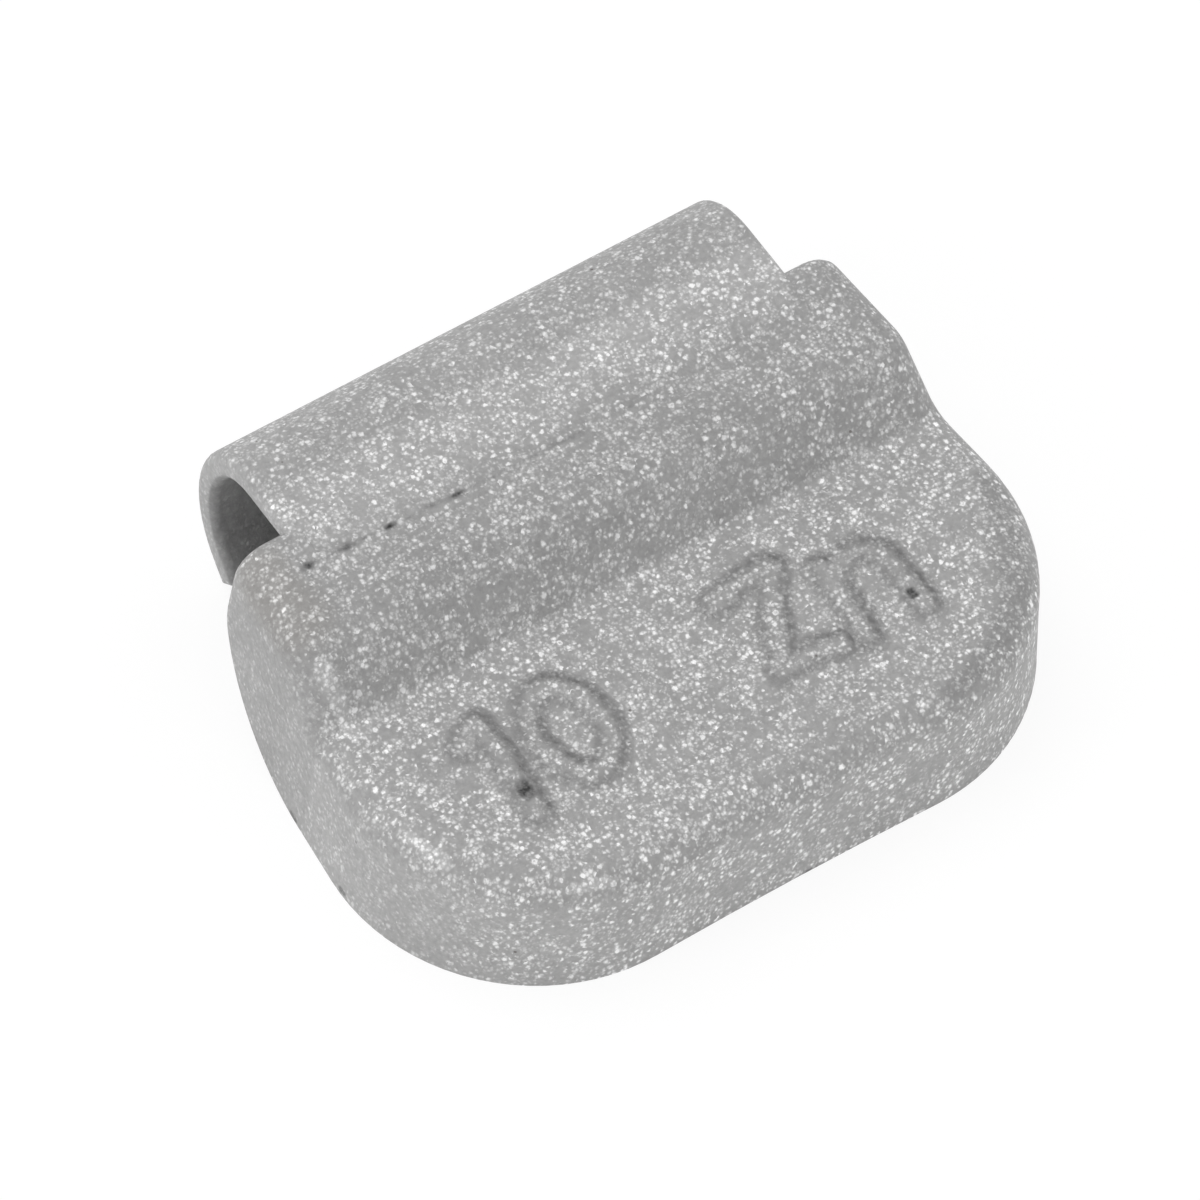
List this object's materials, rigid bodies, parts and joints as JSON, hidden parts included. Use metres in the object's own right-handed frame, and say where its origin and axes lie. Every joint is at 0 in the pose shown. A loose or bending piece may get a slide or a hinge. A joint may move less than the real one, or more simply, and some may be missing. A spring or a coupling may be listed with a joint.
{
  "type": "wheel balance weight",
  "caption": "Clip-on wheel balance weight: a stepped zinc casting with a low marked pad and a thick band that grips a bent spring-steel strip, hooked to hold the lip of a steel rim.",
  "frame": {"origin": "under the middle of the whole part, in the plane of the casting's flat back", "axes": "+X along the rim, +Y from the casting's free edge to the hook of the clip, +Z from the flat back to the marked front"},
  "size_m": [0.0224, 0.0184, 0.0067],
  "materials": {
    "coated_zinc": "silver-grey flake coating over die-cast zinc, semi-matt with fine bright sparkle",
    "coated_steel": "the same silver-grey flake coating over spring steel, smoother than on the casting"
  },
  "bodies": {
    "root": {"weight_body": "coated_zinc", "clip": "coated_steel"}
  },
  "joints": []
}
